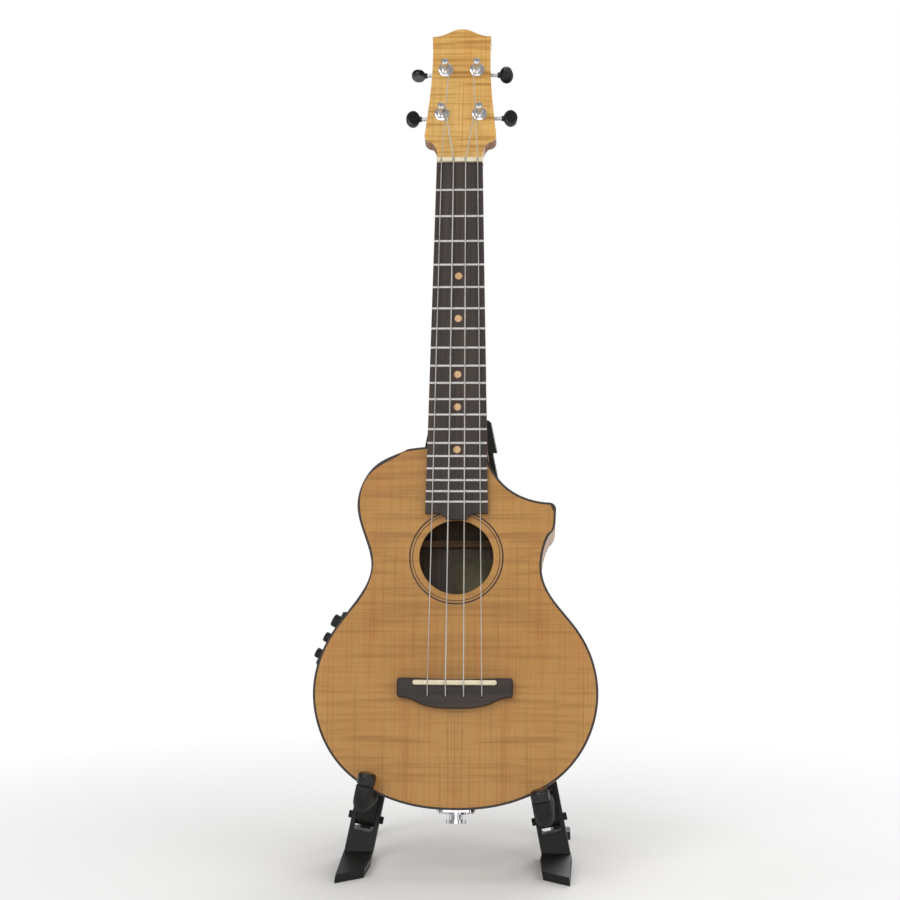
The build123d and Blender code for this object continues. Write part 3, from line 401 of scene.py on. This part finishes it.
stand_black = moulded("stand_black", tint(20, 20, 18), tint(42, 42, 38), 0.44, 1700, 0.00006, 0.0007)
rubber = moulded("rubber", tint(26, 26, 26), tint(46, 46, 44), 0.7, 1400, 0.00008, 0.0005, 0.0, 0.8)
cap_black = moulded("cap_black", tint(20, 21, 21), tint(48, 50, 50), 0.26, 1500, 0.00003, 0.0004, 0.2, 0.4)


def bone():
    """Cream moulded bone substitute with faint streaks and cloudy patches of grime."""
    m = Look("bone", uke, IOR=1.5, Subsurface_Weight=0.15, Subsurface_Scale=0.002)
    m.shader.inputs["Subsurface Radius"].default_value = (1.0, 0.7, 0.4)
    streaks = m.noise((60, 700, 700), 3.0, 0.6, 0.3)
    clouds = m.noise((240, 240, 240), 3.0)
    tone = m.mix(tint(222, 212, 184), tint(198, 182, 146), m.span(streaks, 0.45, 0.7, 0.0, 0.8))
    m.set("Base Color", m.mix(tone, tint(176, 156, 118), m.span(clouds, 0.52, 0.75, 0.0, 0.5)))
    m.set("Roughness", m.span(streaks, 0.3, 0.7, 0.3, 0.42))
    m.set("Normal", m.bump(streaks, 0.00003, 0.4, m.edges(0.0003)[1]))
    return m.material


def nylon():
    """Pale translucent nylon line."""
    m = Look("nylon", uke, IOR=1.53, Transmission_Weight=0.25)
    drawn = m.noise((2500, 40, 2500), 2.0)
    bright = m.noise((300, 22, 300), 2.0)
    m.set("Base Color", m.mix(tint(206, 204, 198), tint(170, 167, 160), m.span(bright, 0.4, 0.7)))
    m.set("Roughness", m.span(drawn, 0.3, 0.7, 0.22, 0.36))
    m.set("Normal", m.bump(drawn, 0.00001, 0.3))
    return m.material


def foam():
    """Closed-cell foam tube: fine cells with painted shade in their pits, a slightly shiny skin and paler
    rubbed patches.
    """
    m = Look("foam", None, IOR=1.4, Sheen_Weight=0.08, Sheen_Roughness=0.5, Specular_IOR_Level=0.3)
    m.shader.inputs["Sheen Tint"].default_value = tint(150, 150, 150)
    cell = m.cells((2300, 2300, 2300))
    lumps = m.noise((420, 420, 420), 3.0, 0.6)
    rubbed = m.noise((70, 70, 70), 3.0, 0.6)
    tone = m.mix(tint(30, 31, 30), tint(48, 49, 47), m.span(rubbed, 0.42, 0.7, 0.0, 0.8))
    # The cell pits, low in the bump, are darkened: painted shade in the pits.
    m.set("Base Color", m.mix(tone, tint(16, 16, 16), m.span(cell, 0.45, 0.2, 0.0, 0.6)))
    m.set("Roughness", m.span(lumps, 0.3, 0.7, 0.62, 0.82))
    height = m.sums("ADD", cell, m.sums("MULTIPLY", lumps, 1.4))
    m.set("Normal", m.bump(height, 0.00022, 0.6))
    return m.material


bone, nylon, foam = bone(), nylon(), foam()

FINISH = {
    body_front: "top_plate back_plate",
    body_side: "side_rim",
    binding_wood: "rosette_rings bindings",
    inner_wood: "end_blocks linings braces",
    neck_wood: "neck",
    head_front: "headstock_veneer",
    board_wood: "fretboard",
    bridge_wood: "bridge",
    bone: "nut saddle",
    dot_wood: "position_dots",
    nickel: "frets",
    nylon: "strings",
    chrome: "tuner_housings tuner_bushings tuner_washers jack_plate endpin_jack"
    " string_post_g string_post_c string_post_e string_post_a",
    steel: "saddle_pickup tuner_screws jack_screws preamp_screws hinge_pins"
    " worm_shaft_g worm_shaft_c worm_shaft_e worm_shaft_a",
    knob_black: "tuner_knob_g tuner_knob_c tuner_knob_e tuner_knob_a",
    panel_black: "preamp_panel preamp_housing volume_knob bass_knob treble_knob tuner_button",
    stand_black: "hinge_head leg_left leg_right arm_left arm_right pivot_pin_left pivot_pin_right",
    rubber: "head_pad foot_pads_left foot_pads_right",
    foam: "sleeve_left sleeve_right",
    cap_black: "cap_left cap_right",
}
for material, names in FINISH.items():
    for name in names.split():
        nodes[name].data.materials.clear()
        nodes[name].data.materials.append(material)


# ---------------------------------------------------------------- pieces
def piece(name, mesh, material, body):
    """A finished mesh as a piece that rides on a body."""
    made = bpy.data.objects.new(name, mesh)
    bpy.context.scene.collection.objects.link(made)
    mesh.materials.clear()
    mesh.materials.append(material)
    for polygon in mesh.polygons:
        polygon.use_smooth = True
    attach(made, body)
    return made


def from_shape(name, shape):
    """A mesh from a bmesh, its faces turned outwards."""
    bmesh.ops.recalc_face_normals(shape, faces=shape.faces)
    mesh = bpy.data.meshes.new(name)
    shape.to_mesh(mesh)
    shape.free()
    return mesh


def baked(name, source, *modifiers):
    """A mesh's shape after modifiers, as (type, settings) pairs."""
    holder = bpy.data.objects.new(name, source)
    bpy.context.scene.collection.objects.link(holder)
    for kind, settings in modifiers:
        added = holder.modifiers.new(kind.lower(), kind)
        for key, value in settings.items():
            setattr(added, key, value)
    bpy.context.view_layer.update()
    mesh = bpy.data.meshes.new_from_object(holder.evaluated_get(bpy.context.evaluated_depsgraph_get()))
    bpy.data.objects.remove(holder)
    return mesh


def softened(node, name, voxel, rounds, material):
    """A copy of a CAD node with its edges rounded as a moulding's are, standing for the node."""
    mesh = baked(
        name,
        nodes[node].data.copy(),
        ("REMESH", {"mode": "VOXEL", "voxel_size": voxel}),
        ("SMOOTH", {"factor": 0.5, "iterations": rounds}),
    )
    made = piece(name, mesh, material, nodes[node]["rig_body"])
    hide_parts(node)
    return made


def tube(points, radii, segments=32, closed=False):
    """A tube through points with its own radius at each; its ends close unless it is a ring."""
    shape = bmesh.new()
    count = len(points)
    side, rings = None, []
    for i, point in enumerate(points):
        before = points[i - 1] if closed or i else points[0]
        after = points[(i + 1) % count] if closed or i < count - 1 else points[-1]
        along = (after - before).normalized()
        if side is None:
            side = along.orthogonal().normalized()
        side = (side - along * side.dot(along)).normalized()
        other = along.cross(side)
        turns = [2 * pi * k / segments for k in range(segments)]
        rings.append([shape.verts.new(point + radii[i] * (side * cos(t) + other * sin(t))) for t in turns])
    pairs = list(zip(rings, rings[1:])) + ([(rings[-1], rings[0])] if closed else [])
    for low, high in pairs:
        for k in range(segments):
            shape.faces.new((low[k], low[(k + 1) % segments], high[(k + 1) % segments], high[k]))
    if not closed:
        shape.faces.new(rings[0])
        shape.faces.new(rings[-1])
    return shape


ARC_STEPS, RUN_IN_STEPS, RUN_OUT_STEPS = 12, 24, 12


def rounded_path(corners, radius):
    """Points along two straight runs whose shared corner is an arc."""
    a, b, c = corners
    first, second = (a - b).normalized(), (c - b).normalized()
    half = first.angle(second) / 2
    back = radius / tan(half)
    start, end = b + first * back, b + second * back
    centre = b + (first + second).normalized() * radius / sin(half)
    arc = []
    for i in range(ARC_STEPS + 1):
        spoke = (start - centre).lerp(end - centre, i / ARC_STEPS).normalized()
        arc.append(centre + spoke * radius)
    run_in = [a.lerp(start, i / RUN_IN_STEPS) for i in range(RUN_IN_STEPS)]
    run_out = [end.lerp(c, i / RUN_OUT_STEPS) for i in range(1, RUN_OUT_STEPS + 1)]
    return run_in + arc + run_out


# Foam sleeves: a tube with a rounded bend and rounded lips, growing slimmer towards its cap.
SLEEVE_R, BEND_R = 0.0067, 0.009
SLEEVE_SKIN = 0.995  # the drawn radius over SLEEVE_R
TIP_RISE = 0.021  # the cap's top above the bend
BACK_GAP = 0.0003
RISE = {"left": tan(radians(8.0)), "right": tan(radians(0.9))}
LIP_LENGTH, LIP_DEPTH = 0.0018, 0.28  # how far from an end the lip starts, and its share of the radius
SLIM_LENGTH, SLIM_DEPTH = 0.02, 0.07  # the same for the slimmer tip
for side in SIDES:
    hinge = axis(side + "_arm_fold")
    leg = frame_of(-hinge, Vector((0, 1, 0)), place(side + "_arm_fold"))
    cap_low, cap_high = extent("cap_" + side, leg)
    front = (cap_low.y + cap_high.y) / 2
    bend_z = cap_high.z - TIP_RISE
    back = extent("sleeve_" + side, leg)[1].y - BACK_GAP
    root = Vector((0, back, bend_z - (back - front) * RISE[side]))
    bend = Vector((0, front, bend_z))
    tip = Vector((0, front, cap_low.z))
    path = [leg @ p for p in rounded_path((root, bend, tip), BEND_R)]
    lengths = [0.0]
    for p, q in zip(path, path[1:]):
        lengths.append(lengths[-1] + (q - p).length)
    total = lengths[-1]
    radii = []
    for at in lengths:
        end = min(at, total - at)
        lip = 1 - LIP_DEPTH * max(0.0, 1 - end / LIP_LENGTH) ** 2
        slim = 1 - SLIM_DEPTH * max(0.0, (at - total + SLIM_LENGTH) / SLIM_LENGTH)
        radii.append(SLEEVE_R * SLEEVE_SKIN * lip * slim)
    shape = tube(path, radii, 40)
    mesh = baked("sleeve", from_shape("sleeve", shape), ("SUBSURF", {"levels": 1, "render_levels": 1}))
    sleeve = piece("foam_sleeve_" + side, mesh, foam, "arm_" + side)
    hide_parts("sleeve_" + side)
    softened("cap_" + side, "end_cap_" + side, 0.0004, 4, cap_black)

back_pad = softened("head_pad", "back_pad", 0.0007, 6, rubber)
for name in STRINGS:
    softened("tuner_knob_" + name, "tuner_button_" + name, 0.00032, 5, knob_black)

# String windings on the posts: a few turns laid side by side.
TURNS, WINDING_STEPS = 3.2, 90
POST_WAIST = 0.0022  # the post's radius under the string
WINDING_TOP = 0.0015 + 0.0072  # the veneer's thickness, and the first turn above it
SPACING, STAND_OFF = 2.06, 1.02  # turn to turn, and off the post, in string radii
GAUGE = {"g": 0.00033, "c": 0.00046, "e": 0.00042, "a": 0.00033}
for name in STRINGS:
    gauge = GAUGE[name]
    post = frame_of(across, head_up, place("post_" + name + "_turn"))
    radius = POST_WAIST + STAND_OFF * gauge
    points = []
    for i in range(WINDING_STEPS + 1):
        turn = 2 * pi * TURNS * i / WINDING_STEPS
        level = WINDING_TOP - SPACING * gauge * turn / (2 * pi)
        points.append(post @ Vector((radius * cos(turn), radius * sin(turn), level)))
    shape = tube(points, [gauge] * len(points), 12)
    piece("winding_" + name, from_shape("winding", shape), nylon, "post_" + name)


# A plain paper label on the inside of the back, seen through the soundhole.
LABEL_X, LABEL_Y = (-0.004, 0.034), (0.062, 0.094)
LABEL_CORNER, LABEL_T, LABEL_GAP = 0.002, 0.00018, 0.00002


def plate(corners_x, corners_y, z, radius, local):
    """A thin flat sheet with rounded corners."""
    shape = bmesh.new()
    outline = []
    for cx, cy, start in ((1, 1, 0), (-1, 1, 90), (-1, -1, 180), (1, -1, 270)):
        middle_x = (corners_x[1] if cx > 0 else corners_x[0]) - cx * radius
        middle_y = (corners_y[1] if cy > 0 else corners_y[0]) - cy * radius
        for k in range(7):
            t = radians(start + 15 * k)
            outline.append((middle_x + radius * cos(t), middle_y + radius * sin(t)))
    low_ring = [shape.verts.new(local @ Vector((x, y, z))) for x, y in outline]
    high_ring = [shape.verts.new(local @ Vector((x, y, z + LABEL_T))) for x, y in outline]
    shape.faces.new(low_ring)
    shape.faces.new(high_ring)
    for k in range(len(outline)):
        n = (k + 1) % len(outline)
        shape.faces.new((low_ring[k], low_ring[n], high_ring[n], high_ring[k]))
    return shape


paper = Look("paper", uke, Roughness=0.8)
fibres = paper.noise((900, 900, 900), 4.0, 0.65)
foxing = paper.noise((60, 60, 60), 3.0)
paper_tone = paper.mix(tint(150, 142, 112), tint(128, 116, 86), paper.span(foxing, 0.45, 0.7))
paper.set("Base Color", paper.mix(paper_tone, tint(168, 160, 132), paper.span(fibres, 0.55, 0.7, 0.0, 0.5)))
paper.set("Normal", paper.bump(fibres, 0.00003, 0.5))
label = plate(LABEL_X, LABEL_Y, extent("back_plate", uke)[1].z + LABEL_GAP, LABEL_CORNER, uke)
piece("label", from_shape("label", label), paper.material, "ukulele")

# A dark ring round each position dot. The dots are one node, so its vertices are grouped along the board.
RING_R, RING_T, RING_SINK, RING_STEPS = 0.00285, 0.00028, 0.0002, 48
DOT_APART = 0.003
dot_top = extent("position_dots", uke)[1].z
dots = sorted({round((uke.inverted() @ v.co).y, 4) for v in nodes["position_dots"].data.vertices})
groups = []
for y in dots:
    if groups and y - groups[-1][-1] < DOT_APART:
        groups[-1].append(y)
    else:
        groups.append([y])
ring_dark = open_wood(
    "ring_dark", uke, tint(44, 22, 16), tint(60, 30, 20), tint(26, 14, 10), (0.4, 0.5)
)
for index, group in enumerate(groups):
    middle_y = (group[0] + group[-1]) / 2
    turns = [2 * pi * k / RING_STEPS for k in range(RING_STEPS)]
    ring = [Vector((RING_R * cos(t), middle_y + RING_R * sin(t), dot_top - RING_SINK)) for t in turns]
    shape = tube([uke @ p for p in ring], [RING_T] * RING_STEPS, 8, closed=True)
    piece("dot_ring_%d" % (index + 1), from_shape("dot_ring", shape), ring_dark, "ukulele")

# ---------------------------------------------------------------- floor
FLOOR_R = 4.0
FLOOR_FADE = (0.12, 0.6)  # the distances over which the floor turns from shaded to plain white
sheet = bmesh.new()
bmesh.ops.create_circle(sheet, cap_ends=True, segments=96, radius=FLOOR_R)
data = bpy.data.meshes.new("floor")
sheet.to_mesh(data)
floor = bpy.data.objects.new("floor", data)
bpy.context.scene.collection.objects.link(floor)
pale = Look("floor", None, IOR=1.3)
speck = pale.noise((6, 6, 6), 3.0)
pale.set("Base Color", pale.mix(tint(246, 246, 245), tint(240, 240, 239), speck))
pale.set("Roughness", pale.span(speck, 0.3, 0.7, 0.6, 0.7))
apart = pale.add("SeparateXYZ", Vector=pale.at)
x_squared = pale.sums("POWER", apart.outputs[0], 2.0)
y_squared = pale.sums("POWER", apart.outputs[1], 2.0)
far = pale.sums("SQRT", pale.sums("ADD", x_squared, y_squared), 0.0)
glow = pale.add("Emission")
blend = pale.add("MixShader")
pale.put(blend.inputs[0], pale.span(far, *FLOOR_FADE))
pale.put(blend.inputs[1], pale.shader.outputs[0])
pale.put(blend.inputs[2], glow.outputs[0])
pale.put(pale.tree.nodes["Material Output"].inputs["Surface"], blend.outputs[0])
floor.data.materials.append(pale.material)
